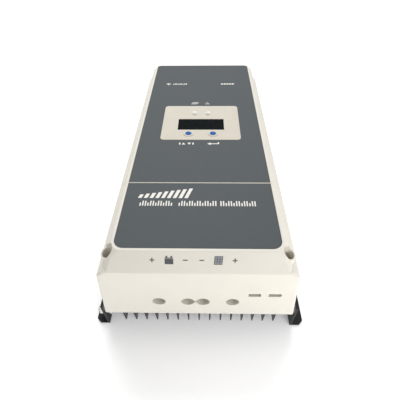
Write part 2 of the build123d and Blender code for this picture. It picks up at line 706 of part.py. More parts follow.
def make_lcd_backlight():
    """Backlight and frame that carries the liquid-crystal cell on the display board."""
    return lcd_layer(DISPLAY_BOARD_Z + BOARD, LENS_TOP_Z - LENS_THICKNESS - LCD_GAP - LCD)


def make_light_rings():
    """Two dished white rings around the status lights."""
    rings = []
    for x in LIGHT_XS:
        body = tube(x, LIGHT_Y, LIGHT_RING_BOTTOM_Z, LIGHT_RING_TOP_Z, LIGHT_RING_R, LIGHT_R + 0.1)
        dish_z = LIGHT_RING_TOP_Z - LIGHT_DISH / 2
        dish = Pos(x, LIGHT_Y, dish_z + 0.01) * Cone(LIGHT_R + 0.3, LIGHT_RING_R - 0.5, LIGHT_DISH)
        rings.append(body - dish)
    return joined(rings)


def make_button(x):
    """Domed push button with a retaining flange under the bezel."""
    dome_rise = HEIGHT - BUTTON_DOME_EDGE_Z
    sphere_r = (BUTTON_R ** 2 + dome_rise ** 2) / (2 * dome_rise)
    cap = post(x, BUTTON_Y, BUTTON_FLANGE_Z, HEIGHT, BUTTON_R)
    cap = cap & Pos(x, BUTTON_Y, HEIGHT - sphere_r) * Sphere(sphere_r)
    flange = post(x, BUTTON_Y, BUTTON_FLANGE_Z, BUTTON_FLANGE_Z + BUTTON_FLANGE, BUTTON_FLANGE_R)
    return cap + flange


def make_tact_switches():
    """Two small switches on the display board, one under each button."""
    board_top = DISPLAY_BOARD_Z + BOARD
    switches = []
    for x in BUTTON_XS:
        body = block(x - SWITCH_HALF, x + SWITCH_HALF, BUTTON_Y - SWITCH_HALF, BUTTON_Y + SWITCH_HALF,
                     board_top, board_top + SWITCH_BODY)
        stem = post(x, BUTTON_Y, board_top + SWITCH_BODY / 2, BUTTON_FLANGE_Z - SWITCH_GAP, SWITCH_STEM_R)
        switches.append(body + stem)
    return joined(switches)


def make_light_pipes():
    """Two status lights: a lamp on the board and a clear pipe up to the bezel."""
    board_top = DISPLAY_BOARD_Z + BOARD
    pipes = []
    for x in LIGHT_XS:
        lamp = block(x - LAMP_HALF, x + LAMP_HALF, LIGHT_Y - LAMP_HALF, LIGHT_Y + LAMP_HALF,
                     board_top, board_top + LAMP)
        pipes.append(lamp + post(x, LIGHT_Y, board_top + LAMP / 2, LIGHT_TOP_Z, LIGHT_R))
    return joined(pipes)


def make_display_board():
    """Circuit board behind the display, hung from four bosses in the housing."""
    reach_x = DISPLAY_BOSS_XS[1] + DISPLAY_BOARD_MARGIN_X
    y0 = DISPLAY_BOSS_YS[0] - DISPLAY_BOARD_MARGIN_Y
    y1 = DISPLAY_BOSS_YS[1] + DISPLAY_BOARD_MARGIN_Y
    board = sheet(-reach_x, reach_x, y0, y1, DISPLAY_BOARD_Z, DISPLAY_BOARD_Z + BOARD, 2)
    holes = [
        post(x, y, DISPLAY_BOARD_Z - 1, DISPLAY_BOARD_Z + BOARD + 1, M3_HOLE_R)
        for x in DISPLAY_BOSS_XS for y in DISPLAY_BOSS_YS
    ]
    return board - holes


def make_display_board_screws():
    """Screws that hold the display board to the housing's bosses."""
    screws = []
    for x in DISPLAY_BOSS_XS:
        for y in DISPLAY_BOSS_YS:
            head = post(x, y, DISPLAY_BOARD_Z - M3_HEAD, DISPLAY_BOARD_Z, M3_HEAD_R)
            shank = post(x, y, DISPLAY_BOARD_Z, DISPLAY_BOARD_Z + DISPLAY_HOLE_DEPTH - 1, M3_SHANK_R)
            screws.append(head + shank)
    return joined(screws)


def make_display_ribbon():
    """Flat cable from the display board down to the main board."""
    x0 = DISPLAY_RIBBON_X - RIBBON_HALF
    x1 = DISPLAY_RIBBON_X + RIBBON_HALF
    y = DISPLAY_RIBBON_Y
    board_edge = DISPLAY_BOSS_YS[1] + DISPLAY_BOARD_MARGIN_Y
    top = block(x0, x1, board_edge - RIBBON_LAP, y + RIBBON, DISPLAY_BOARD_Z - RIBBON, DISPLAY_BOARD_Z)
    drop = block(x0, x1, y, y + RIBBON, MAIN_BOARD_TOP_Z, DISPLAY_BOARD_Z)
    return top + drop


# ---- Power electronics ----

def make_main_board():
    """Main circuit board on standoffs above the heatsink plate."""
    board = sheet(-MAIN_BOARD_HALF, MAIN_BOARD_HALF, MAIN_BOARD_FRONT_Y, MAIN_BOARD_REAR_Y,
                  MAIN_BOARD_Z, MAIN_BOARD_TOP_Z, 2)
    holes = [
        post(x, y, MAIN_BOARD_Z - 1, MAIN_BOARD_TOP_Z + 1, M3_HOLE_R)
        for x in STANDOFF_XS for y in STANDOFF_YS
    ]
    return board - holes


def make_board_standoffs():
    """Hexagonal standoffs between the heatsink plate and the main board."""
    return joined(
        hexagon_post(x, y, PLATE_TOP_Z, MAIN_BOARD_Z, STANDOFF_FLATS)
        - post(x, y, MAIN_BOARD_Z - 6, MAIN_BOARD_Z + 1, M3_HOLE_R)
        for x in STANDOFF_XS for y in STANDOFF_YS
    )


def make_board_screws():
    """Screws through the main board into its standoffs."""
    return joined(
        post(x, y, MAIN_BOARD_TOP_Z, MAIN_BOARD_TOP_Z + M3_HEAD, M3_HEAD_R)
        + post(x, y, MAIN_BOARD_Z - 5, MAIN_BOARD_TOP_Z, M3_SHANK_R)
        for x in STANDOFF_XS for y in STANDOFF_YS
    )


def make_inductor_cores():
    """Powder cores of the step-down inductors."""
    z0 = MAIN_BOARD_TOP_Z + WINDING
    z1 = z0 + CORE_HEIGHT
    return joined(tube(x, y, z0, z1, CORE_OUTER_R, CORE_INNER_R) for x, y in INDUCTOR_CENTRES)


def make_inductor_windings():
    """Copper windings that wrap the cores all round."""
    z0 = MAIN_BOARD_TOP_Z
    z1 = z0 + CORE_HEIGHT + 2 * WINDING
    coils = []
    for x, y in INDUCTOR_CENTRES:
        coil = tube(x, y, z0, z1, CORE_OUTER_R + WINDING, CORE_INNER_R - WINDING)
        coils.append(coil - tube(x, y, z0 + WINDING, z1 - WINDING, CORE_OUTER_R, CORE_INNER_R))
    return joined(coils)


def make_capacitors():
    """Electrolytic capacitors with a rounded can edge."""
    cans = []
    for x in CAPACITOR_XS:
        for y in CAPACITOR_YS:
            can = post(x, y, MAIN_BOARD_TOP_Z, MAIN_BOARD_TOP_Z + CAPACITOR_HEIGHT, CAPACITOR_R)
            cans.append(end_rounded(can, Axis.Z, CAPACITOR_EDGE_R))
    return joined(cans)


def make_thermal_pads():
    """Insulating pads between the transistors and the heatsink plate."""
    pads = []
    half = PACKAGE_HALF + PAD_MARGIN
    for side in (-1, 1):
        x0, x1 = sorted((side * (PACKAGE_X0 - PAD_MARGIN), side * (PACKAGE_X1 + PAD_MARGIN)))
        for y in TRANSISTOR_YS:
            pads.append(block(x0, x1, y - half, y + half, PLATE_TOP_Z, PLATE_TOP_Z + PAD))
    return joined(pads)


def make_power_transistors():
    """Flat power packages with three bent leads up to the main board."""
    z0 = PLATE_TOP_Z + PAD
    lead_z = z0 + LEAD_HEIGHT
    packages = []
    for side in (-1, 1):
        body_x0, body_x1 = sorted((side * PACKAGE_X0, side * PACKAGE_X1))
        run_x0, run_x1 = sorted((side * LEAD_X, side * (PACKAGE_X0 + 1)))
        rise_x0, rise_x1 = sorted((side * LEAD_X, side * (LEAD_X + LEAD)))
        for y in TRANSISTOR_YS:
            package = block(body_x0, body_x1, y - PACKAGE_HALF, y + PACKAGE_HALF, z0, z0 + PACKAGE)
            for lead_y in (y - LEAD_PITCH, y, y + LEAD_PITCH):
                y0 = lead_y - LEAD_WIDTH / 2
                y1 = lead_y + LEAD_WIDTH / 2
                run = block(run_x0, run_x1, y0, y1, lead_z, lead_z + LEAD)
                rise = block(rise_x0, rise_x1, y0, y1, lead_z, MAIN_BOARD_Z)
                package = package + run + rise
            packages.append(package)
    return joined(packages)


def make_transistor_clamps():
    """Steel bars that press the transistors onto the heatsink plate."""
    bars = []
    for side in (-1, 1):
        x = side * CLAMP_X
        bar = block(x - CLAMP_HALF, x + CLAMP_HALF, TRANSISTOR_YS[0] - CLAMP_OVERHANG,
                    TRANSISTOR_YS[-1] + CLAMP_OVERHANG, CLAMP_Z0, CLAMP_Z0 + CLAMP)
        relief = post(side * HOUSING_SCREW_X, HOUSING_SCREW_YS[1], 0, HEIGHT, CLAMP_RELIEF_R)
        holes = [post(x, y, CLAMP_Z0 - 1, CLAMP_Z0 + CLAMP + 1, M3_HOLE_R) for y in CLAMP_SCREW_YS]
        bars.append(bar - relief - holes)
    return joined(bars)


def make_clamp_screws():
    """Screws that pull the clamp bars down."""
    top = CLAMP_Z0 + CLAMP
    return joined(
        post(side * CLAMP_X, y, top, top + M3_HEAD, M3_HEAD_R)
        + post(side * CLAMP_X, y, PLATE_TOP_Z - 5, top, M3_SHANK_R)
        for side in (-1, 1) for y in CLAMP_SCREW_YS
    )


# ---- Terminals ----

def make_terminal_block():
    """Insulating block with a pocket for each pole, open behind for its bar."""
    body = sheet(TERMINAL_X0, TERMINAL_X1, TERMINAL_FRONT_Y, TERMINAL_REAR_Y,
                 PLATE_TOP_Z, TERMINAL_TOP_Z, TERMINAL_CORNER_R)
    cuts = []
    for x in POLE_XS:
        cuts.append(block(x - POCKET_HALF, x + POCKET_HALF, POCKET_FRONT_Y, TERMINAL_REAR_Y + 1,
                          POCKET_Z0, POCKET_Z1))
        cuts.append(block(x - MOUTH_HALF, x + MOUTH_HALF, TERMINAL_FRONT_Y - 1, POCKET_FRONT_Y + 1,
                          CAGE_Z0 + CAGE_FLOOR, MOUTH_TOP_Z))
        cuts.append(post(x, SCREW_Y, POCKET_Z1 - 1, TERMINAL_TOP_Z + 1, TERMINAL_HEAD_R + 0.3))
    return body - cuts


def make_terminal_clamp(x):
    """Rising clamp: a frame around the bar, with a threaded top wall."""
    frame = block(x - CAGE_HALF, x + CAGE_HALF, CAGE_FRONT_Y, CAGE_REAR_Y, CAGE_Z0, CAGE_Z1)
    mouth = block(x - CAGE_HALF + CAGE_WALL, x + CAGE_HALF - CAGE_WALL, CAGE_FRONT_Y - 1, CAGE_REAR_Y + 1,
                  CAGE_Z0 + CAGE_FLOOR, CAGE_Z1 - CAGE_NUT)
    thread = post(x, SCREW_Y, CAGE_Z1 - CAGE_NUT - 1, CAGE_Z1 + 1, TERMINAL_SCREW_R + TERMINAL_SCREW_GAP)
    return frame - mouth - thread


def make_terminal_screw(x):
    """Clamp screw with a hexagon socket, which stands on the bar."""
    head_top = TERMINAL_HEAD_Z + TERMINAL_HEAD
    shank = post(x, SCREW_Y, BAR_Z1 + 0.1, TERMINAL_HEAD_Z, TERMINAL_SCREW_R)
    head = post(x, SCREW_Y, TERMINAL_HEAD_Z, head_top, TERMINAL_HEAD_R)
    head = end_rounded(head, Axis.Z, TERMINAL_EDGE_R)
    socket = hexagon_post(x, SCREW_Y, head_top - TERMINAL_SOCKET_DEPTH, head_top + 1, TERMINAL_SOCKET_FLATS)
    return head + shank - socket


def make_busbars():
    """Copper bars from the terminals, through the bulkhead and down to the main board."""
    bars = []
    for x in POLE_XS:
        run = block(x - BAR_HALF, x + BAR_HALF, CAGE_FRONT_Y + 1, BAR_DROP_Y, BAR_Z0, BAR_Z1)
        drop = block(x - BAR_HALF, x + BAR_HALF, BAR_DROP_Y - 3, BAR_DROP_Y, MAIN_BOARD_TOP_Z, BAR_Z1)
        bars.append(run + drop)
    return joined(bars)


# ---- Signal connections ----

def make_signal_board():
    """Small board behind the signal-cable slots."""
    board = sheet(SIGNAL_X0, SIGNAL_X1, SIGNAL_Y0, SIGNAL_Y1, SIGNAL_BOARD_Z, SIGNAL_BOARD_TOP_Z, 1.5)
    holes = [
        post(x, y, SIGNAL_BOARD_Z - 1, SIGNAL_BOARD_TOP_Z + 1, M3_HOLE_R) for x, y in SIGNAL_POSTS
    ]
    return board - holes


def make_signal_posts():
    """Standoffs under the signal board, each with its screw hole."""
    return joined(
        hexagon_post(x, y, PLATE_TOP_Z, SIGNAL_BOARD_Z, STANDOFF_FLATS)
        - post(x, y, SIGNAL_BOARD_Z - SIGNAL_HOLE_DEPTH, SIGNAL_BOARD_Z + 1, M3_HOLE_R)
        for x, y in SIGNAL_POSTS
    )


def make_signal_board_screws():
    """Screws through the signal board into its standoffs."""
    top = SIGNAL_BOARD_TOP_Z
    return joined(
        post(x, y, top, top + M3_HEAD, M3_HEAD_R)
        + post(x, y, SIGNAL_BOARD_Z - SIGNAL_HOLE_DEPTH + 1, top, M3_SHANK_R)
        for x, y in SIGNAL_POSTS
    )


def make_communication_jack():
    """Eight-way modular jack, open towards the cable slots."""
    z0 = SIGNAL_BOARD_TOP_Z
    y0 = SIGNAL_Y0 - 1
    y1 = SIGNAL_Y0 + JACK_MOUTH_DEPTH
    shell = block(JACK_X - JACK_HALF, JACK_X + JACK_HALF, SIGNAL_Y0, SIGNAL_Y0 + JACK_DEPTH,
                  z0, z0 + JACK_HEIGHT)
    mouth = block(JACK_X - JACK_MOUTH_HALF, JACK_X + JACK_MOUTH_HALF, y0, y1, z0 + JACK_MOUTH_Z0,
                  z0 + JACK_MOUTH_Z1)
    latch = block(JACK_X - JACK_LATCH_HALF, JACK_X + JACK_LATCH_HALF, y0, y1, z0 + JACK_MOUTH_Z1 - 1,
                  z0 + JACK_LATCH_Z1)
    return shell - mouth - latch


def make_sensor_connector():
    """Two-way pluggable connector for the remote temperature sensor."""
    z0 = SIGNAL_BOARD_TOP_Z
    z1 = z0 + SENSOR_HEIGHT
    body = block(SENSOR_X - SENSOR_HALF, SENSOR_X + SENSOR_HALF, SIGNAL_Y0, SIGNAL_Y0 + SENSOR_DEPTH, z0, z1)
    holes = []
    for x in (SENSOR_X - SENSOR_POLE_OFFSET, SENSOR_X + SENSOR_POLE_OFFSET):
        holes.append(block(x - SENSOR_WIRE_HALF, x + SENSOR_WIRE_HALF, SIGNAL_Y0 - 1,
                           SIGNAL_Y0 + SENSOR_WIRE_DEPTH, z0 + SENSOR_WIRE_Z0, z0 + SENSOR_WIRE_Z1))
        holes.append(post(x, SIGNAL_Y0 + SENSOR_DEPTH / 2, z1 - 2, z1 + 1, SENSOR_SCREW_R))
    return body - holes


def make_signal_ribbon():
    """Flat cable from the signal board, through the bulkhead and down to the main board."""
    x0 = SIGNAL_RIBBON_X - RIBBON_HALF
    x1 = SIGNAL_RIBBON_X + RIBBON_HALF
    y1 = SIGNAL_RIBBON_DROP_Y + RIBBON
    z = SIGNAL_BOARD_TOP_Z
    run = block(x0, x1, SIGNAL_Y1 - RIBBON_LAP, y1, z, z + RIBBON)
    drop = block(x0, x1, SIGNAL_RIBBON_DROP_Y, y1, MAIN_BOARD_TOP_Z, z + RIBBON)
    screw_clearance = post(*SIGNAL_POSTS[0], z - 1, z + M3_HEAD, M3_HEAD_R + 0.4)
    return run + drop - screw_clearance


# ---- Terminal cover ----

def above_well_rim(side, radius):
    """The round space over the sloping rim of a screw well."""
    tilt = Rot(WELL_RIM_RISE, side * WELL_RIM_FALL, 0)
    space = Pos(side * COVER_SCREW_X, COVER_SCREW_Y, WELL_RIM_Z) * tilt * Pos(0, 0, HEIGHT) * Box(
        WIDTH, WIDTH, 2 * HEIGHT
    )
    return space & post(side * COVER_SCREW_X, COVER_SCREW_Y, COVER_LEDGE_Z, HEIGHT + 1, radius)


def make_terminal_cover():
    """Removable moulded cover over the terminals, with the cable entries in its front wall."""
    end_y = SPLIT_Y - SEAM / 2
    shell = casing_form() & whole_width(FRONT_Y - 1, end_y)
    shell = shell - (casing_form(WALL) & whole_width(FRONT_Y - 1, end_y + 1))
    collars = [rod_y(x, FRONT_Y + 0.5, FRONT_Y + COLLAR_DEPTH, CABLE_Z, COLLAR_R) for x in CABLE_XS]
    shell = shell + collars
    for side in (-1, 1):
        x = side * COVER_SCREW_X
        boss = post(x, COVER_SCREW_Y, COVER_BOSS_Z, HEIGHT, COVER_BOSS_R) & casing_form(0.5)
        well = post(x, COVER_SCREW_Y, COVER_LEDGE_Z, HEIGHT + 1, WELL_RIM_R)
        shell = shell + boss + well - above_well_rim(side, WELL_RIM_R)
    cuts = [lower_panel_form(PANEL_POCKET + 1)]
    for x in CABLE_XS:
        cuts.append(rod_y(x, FRONT_Y - 1, FRONT_Y + COLLAR_DEPTH + 1, CABLE_Z, CABLE_R))
    cuts.append(block(CABLE_XS[1], CABLE_XS[2], FRONT_Y - 1, FRONT_Y + COLLAR_DEPTH + 1,
                      CABLE_Z - LINK_SLOT / 2, CABLE_Z + LINK_SLOT / 2))
    for x0, x1 in SIGNAL_SLOTS:
        cuts.append(block(x0, x1, FRONT_Y - 1, FRONT_Y + WALL + 1, SIGNAL_SLOT_Z0, SIGNAL_SLOT_Z1))
    for side in (-1, 1):
        x = side * COVER_SCREW_X
        cuts.append(post(x, COVER_SCREW_Y, COVER_LEDGE_Z, HEIGHT + 1, WELL_R))
        cuts.append(post(x, COVER_SCREW_Y, COVER_BOSS_Z - 1, COVER_LEDGE_Z + 1, M4_HOLE_R + 0.2))
    return shell - cuts


def make_lower_panel():
    """Printed sheet on the terminal cover."""
    return lower_panel_form(PANEL_SHEET, PANEL_GAP)


def make_cover_posts():
    """Threaded pillars on the heatsink plate that take the cover's screws."""
    pillars = []
    for side in (-1, 1):
        x = side * COVER_SCREW_X
        pillar = post(x, COVER_SCREW_Y, PLATE_TOP_Z, COVER_POST_TOP_Z, COVER_POST_R)
        thread = post(x, COVER_SCREW_Y, COVER_SCREW_TIP_Z - 2, COVER_POST_TOP_Z + 1, COVER_THREAD_R)
        pillars.append(pillar - thread)
    return joined(pillars)


def make_cover_screw(side):
    """Captive cover screw with a crossed recess, deep in the cover's corner."""
    x = side * COVER_SCREW_X
    top = COVER_LEDGE_Z + COVER_HEAD
    shank = post(x, COVER_SCREW_Y, COVER_SCREW_TIP_Z, COVER_LEDGE_Z, M4_SHANK_R)
    head = post(x, COVER_SCREW_Y, COVER_LEDGE_Z + 0.05, top, M4_HEAD_R)
    head = end_rounded(head, Axis.Z, COVER_HEAD_EDGE_R)
    head = head + post(x, COVER_SCREW_Y, COVER_LEDGE_Z, COVER_LEDGE_Z + 1, M4_SHANK_R)
    slot = Box(CROSS_LENGTH, CROSS_WIDTH, 2 * CROSS_DEPTH)
    cross = Pos(x, COVER_SCREW_Y, top) * (slot + Rot(0, 0, 90) * slot)
    return head + shank - cross


NODES = {
    "heatsink": make_heatsink(),
    "mounting_rail_left": make_rail(-1),
    "mounting_rail_right": make_rail(1),
    "rail_screws": make_rail_screws(),
    "ground_bolt": make_ground_bolt(),
    "ground_washers": make_ground_washers(),
    "ground_nut": make_ground_nut(),
    "upper_housing": make_upper_housing(),
    "upper_panel_sheet": make_upper_panel(),
    "housing_gasket": make_housing_gasket(),
    "housing_screws": make_housing_screws(),
    "display_bezel": make_display_bezel(),
    "display_window": make_display_window(),
    "lcd_glass": make_lcd_glass(),
    "lcd_backlight": make_lcd_backlight(),
    "button_select": make_button(BUTTON_XS[0]),
    "button_enter": make_button(BUTTON_XS[1]),
    "tact_switches": make_tact_switches(),
    "light_rings": make_light_rings(),
    "light_pipes": make_light_pipes(),
    "display_board": make_display_board(),
    "display_board_screws": make_display_board_screws(),
    "display_ribbon": make_display_ribbon(),
    "main_board": make_main_board(),
    "main_board_standoffs": make_board_standoffs(),
    "main_board_screws": make_board_screws(),
    "inductor_cores": make_inductor_cores(),
    "inductor_windings": make_inductor_windings(),
    "capacitors": make_capacitors(),
    "thermal_pads": make_thermal_pads(),
    "power_transistors": make_power_transistors(),
    "transistor_clamps": make_transistor_clamps(),
    "clamp_screws": make_clamp_screws(),
    "terminal_block": make_terminal_block(),
    "busbars": make_busbars(),
    "signal_board": make_signal_board(),
    "signal_board_posts": make_signal_posts(),
    "signal_board_screws": make_signal_board_screws(),
    "communication_jack": make_communication_jack(),
    "sensor_connector": make_sensor_connector(),
    "signal_ribbon": make_signal_ribbon(),
    "cover_posts": make_cover_posts(),
    "terminal_cover": make_terminal_cover(),
    "lower_panel_sheet": make_lower_panel(),
    "cover_screw_left": make_cover_screw(-1),
    "cover_screw_right": make_cover_screw(1),
}
for number, pole_x in enumerate(POLE_XS, start=1):
    NODES[f"terminal_clamp_{number}"] = make_terminal_clamp(pole_x)
    NODES[f"terminal_screw_{number}"] = make_terminal_screw(pole_x)

os.makedirs("parts", exist_ok=True)
for name, shape in NODES.items():
    export_step(shape, f"parts/{name}.step")
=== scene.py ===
import json
import math

import bmesh
import bpy
from mathutils import Matrix, Vector


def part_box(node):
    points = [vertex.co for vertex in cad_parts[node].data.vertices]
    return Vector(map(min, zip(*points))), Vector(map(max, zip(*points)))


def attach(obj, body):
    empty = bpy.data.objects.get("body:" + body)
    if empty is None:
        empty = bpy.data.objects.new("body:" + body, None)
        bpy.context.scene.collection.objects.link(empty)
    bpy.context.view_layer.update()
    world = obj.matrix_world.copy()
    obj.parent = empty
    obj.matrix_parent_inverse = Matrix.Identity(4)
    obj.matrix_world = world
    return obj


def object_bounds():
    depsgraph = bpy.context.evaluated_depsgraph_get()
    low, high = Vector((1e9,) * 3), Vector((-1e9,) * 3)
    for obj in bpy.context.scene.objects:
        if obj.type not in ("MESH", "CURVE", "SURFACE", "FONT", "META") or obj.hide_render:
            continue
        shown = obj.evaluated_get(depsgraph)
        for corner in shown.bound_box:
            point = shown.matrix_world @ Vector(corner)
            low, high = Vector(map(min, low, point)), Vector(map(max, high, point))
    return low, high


# Looks for a wall-mounted solar charge controller. Metres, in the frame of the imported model:
# +X to the right, +Y from the cable entries to the top end, +Z out of the wall.

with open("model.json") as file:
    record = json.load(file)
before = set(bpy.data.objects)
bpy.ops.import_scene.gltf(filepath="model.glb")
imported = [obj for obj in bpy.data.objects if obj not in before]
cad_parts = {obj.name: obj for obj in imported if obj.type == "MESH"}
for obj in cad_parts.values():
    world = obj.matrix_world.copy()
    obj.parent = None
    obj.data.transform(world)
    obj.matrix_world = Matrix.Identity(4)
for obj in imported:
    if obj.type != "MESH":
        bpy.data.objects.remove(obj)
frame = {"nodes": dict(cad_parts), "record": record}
cad_box = [list(corner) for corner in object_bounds()]
nodes = frame["nodes"]
MM = 0.001


# ---- Material helpers ----

class Shader:
    """A Principled material with a small node tree that is built up step by step."""

    def __init__(self, name, colour, roughness, metallic=0.0):
        self.material = bpy.data.materials.new(name)
        self.material.use_nodes = True
        self.tree = self.material.node_tree
        self.tree.nodes.clear()
        self.bsdf = self.tree.nodes.new("ShaderNodeBsdfPrincipled")
        self.output = self.tree.nodes.new("ShaderNodeOutputMaterial")
        self.link(self.bsdf, "BSDF", self.output, "Surface")
        self.coords = self.tree.nodes.new("ShaderNodeTexCoord")
        self.set("Base Color", (*colour, 1.0))
        self.set("Roughness", roughness)
        self.set("Metallic", metallic)
        self.colour = colour

    def link(self, source, output, target, socket):
        self.tree.links.new(source.outputs[output], target.inputs[socket])

    def set(self, socket, value):
        self.bsdf.inputs[socket].default_value = value
        return self

    def noise(self, scale, detail=2.0, stretch=(1, 1, 1)):
        """Noise in object space; scale counts features per metre."""
        mapping = self.tree.nodes.new("ShaderNodeMapping")
        mapping.inputs["Scale"].default_value = stretch
        self.link(self.coords, "Object", mapping, "Vector")
        texture = self.tree.nodes.new("ShaderNodeTexNoise")
        texture.inputs["Scale"].default_value = scale
        texture.inputs["Detail"].default_value = detail
        self.link(mapping, "Vector", texture, "Vector")
        return texture

    def ramp(self, texture, stops, low=0.35, high=0.65):
        """Spreads the middle of a noise between two colours."""
        ramp = self.tree.nodes.new("ShaderNodeValToRGB")
        for element, position, colour in zip(ramp.color_ramp.elements, (low, high), stops):
            element.position = position
            element.color = (*colour, 1.0)
        self.link(texture, "Fac", ramp, "Fac")
        return ramp

    def mottle(self, scale, amount, detail=3.0, stretch=(1, 1, 1)):
        """Varies the base colour a little, darker and lighter than its own value."""
        texture = self.noise(scale, detail, stretch)
        dark = [c * (1 - amount) for c in self.colour]
        light = [min(1.0, c * (1 + amount)) for c in self.colour]
        ramp = self.ramp(texture, (dark, light))
        self.link(ramp, "Color", self.bsdf, "Base Color")
        return self

    def uneven_gloss(self, scale, low, high, stretch=(1, 1, 1)):
        """Varies the roughness between two values."""
        texture = self.noise(scale, 3.0, stretch)
        spread = self.tree.nodes.new("ShaderNodeMapRange")
        spread.inputs["From Min"].default_value = 0.3
        spread.inputs["From Max"].default_value = 0.7
        spread.inputs["To Min"].default_value = low
        spread.inputs["To Max"].default_value = high
        self.link(texture, "Fac", spread, "Value")
        self.link(spread, "Result", self.bsdf, "Roughness")
        return self

    def grain(self, scale, strength, height, detail=2.0, stretch=(1, 1, 1)):
        """Fine surface grain as bump."""
        texture = self.noise(scale, detail, stretch)
        bump = self.tree.nodes.new("ShaderNodeBump")
        bump.inputs["Strength"].default_value = strength
        bump.inputs["Distance"].default_value = height
        self.link(texture, "Fac", bump, "Height")
        self.link(bump, "Normal", self.bsdf, "Normal")
        return self


def moulded_plastic(name, colour, roughness=0.5):
    shader = Shader(name, colour, roughness)
    shader.mottle(35, 0.012).uneven_gloss(160, roughness - 0.05, roughness + 0.05)
    shader.grain(1800, 0.12, 0.00006)
    return shader.set("Specular IOR Level", 0.3).material


def printed_sheet(name, colour):
    shader = Shader(name, colour, 0.56)
    shader.mottle(1400, 0.10, detail=4.0).uneven_gloss(900, 0.50, 0.62)
    shader.grain(2400, 0.25, 0.00005)
    return shader.set("Specular IOR Level", 0.2).material


def anodised(name, colour):
    shader = Shader(name, colour, 0.42, metallic=0.75)
    shader.mottle(420, 0.12, stretch=(1, 0.03, 1)).uneven_gloss(500, 0.34, 0.5, stretch=(1, 0.03, 1))
    shader.grain(1500, 0.35, 0.00008, stretch=(1, 0.02, 1))
    return shader.material


def powder_coat(name, colour):
    shader = Shader(name, colour, 0.42)
    shader.mottle(300, 0.15).uneven_gloss(500, 0.40, 0.55).grain(900, 0.35, 0.00012)
    return shader.set("Specular IOR Level", 0.22).material


def plated_metal(name, colour, roughness=0.3):
    shader = Shader(name, colour, roughness, metallic=1.0)
    shader.mottle(600, 0.06).uneven_gloss(900, roughness - 0.06, roughness + 0.08)
    shader.grain(1600, 0.1, 0.00004, stretch=(1, 1, 0.2))
    return shader.material


def simple_plastic(name, colour, roughness, grain=0.1):
    shader = Shader(name, colour, roughness)
    shader.mottle(500, 0.05).uneven_gloss(600, roughness - 0.05, roughness + 0.06)
    shader.grain(1500, grain, 0.00005)
    return shader.material


def matt_button(name, colour):
    shader = Shader(name, colour, 0.5)
    shader.mottle(500, 0.05).uneven_gloss(600, 0.46, 0.56)
    return shader.set("Specular IOR Level", 0.08).material


def display_glass(name):
    shader = Shader(name, (0.0035, 0.0060, 0.0060), 0.16)
    shader.mottle(220, 0.2).uneven_gloss(300, 0.13, 0.20)
    return shader.set("Specular IOR Level", 0.04).material


def circuit_board(name):
    """Green solder mask with darker copper areas under it."""
    shader = Shader(name, (0.012, 0.11, 0.035), 0.35)
    texture = shader.tree.nodes.new("ShaderNodeTexBrick")
    texture.inputs["Scale"].default_value = 90
    texture.inputs["Mortar Size"].default_value = 0.05
    texture.inputs["Color1"].default_value = (0.012, 0.11, 0.035, 1)
    texture.inputs["Color2"].default_value = (0.010, 0.085, 0.028, 1)
    texture.inputs["Mortar"].default_value = (0.02, 0.17, 0.06, 1)
    shader.link(shader.coords, "Object", texture, "Vector")
    shader.link(texture, "Color", shader.bsdf, "Base Color")
    shader.uneven_gloss(400, 0.28, 0.42).grain(700, 0.15, 0.00004)
    return shader.material


IVORY = (0.77, 0.735, 0.655)
BEZEL_IVORY = (0.65, 0.605, 0.52)
SLATE = (0.080, 0.092, 0.100)
INK_LIGHT = (0.82, 0.80, 0.74)
INK_DARK = (0.085, 0.09, 0.10)
INK_GREY = (0.30, 0.31, 0.32)

MATERIALS = {
    "anodised_aluminium": anodised("anodised_aluminium", (0.070, 0.064, 0.080)),
    "black_steel": powder_coat("black_steel", (0.010, 0.010, 0.012)),
    "black_screws": powder_coat("black_screws", (0.010, 0.010, 0.011)),
    "bright_steel": plated_metal("bright_steel", (0.74, 0.72, 0.68)),
    "ivory_housing": moulded_plastic("ivory_housing", IVORY),
    "ivory_bezel": moulded_plastic("ivory_bezel", BEZEL_IVORY),
    "slate_panel": printed_sheet("slate_panel", SLATE),
    "black_rubber": simple_plastic("black_rubber", (0.02, 0.02, 0.02), 0.7, 0.3),
    "grey_rubber": simple_plastic("grey_rubber", (0.28, 0.30, 0.32), 0.7, 0.3),
    "window_glass": display_glass("window_glass"),
    "dark_display": display_glass("dark_display"),
    "white_plastic": simple_plastic("white_plastic", (0.92, 0.92, 0.90), 0.45),
    "black_plastic": simple_plastic("black_plastic", (0.018, 0.018, 0.02), 0.45),
    "green_plastic": simple_plastic("green_plastic", (0.02, 0.24, 0.07), 0.4),
    "blue_button": matt_button("blue_button", (0.02, 0.13, 0.42)),
    "clear_pipe": simple_plastic("clear_pipe", (0.62, 0.60, 0.55), 0.2, 0.02),
    "circuit_board": circuit_board("circuit_board"),
    "grey_ribbon": simple_plastic("grey_ribbon", (0.35, 0.35, 0.36), 0.5),
    "nickel_brass": plated_metal("nickel_brass", (0.66, 0.62, 0.52), 0.28),
    "powder_core": simple_plastic("powder_core", (0.08, 0.08, 0.09), 0.6, 0.3),
    "copper": plated_metal("copper", (0.75, 0.36, 0.20), 0.32),
    "capacitor_sleeve": simple_plastic("capacitor_sleeve", (0.03, 0.035, 0.07), 0.3),
    "ink_light": simple_plastic("ink_light", INK_LIGHT, 0.5, 0.02),
    "ink_dark": simple_plastic("ink_dark", INK_DARK, 0.5, 0.02),
    "ink_grey": simple_plastic("ink_grey", INK_GREY, 0.5, 0.02),
}


# ---- Finish of the CAD nodes ----

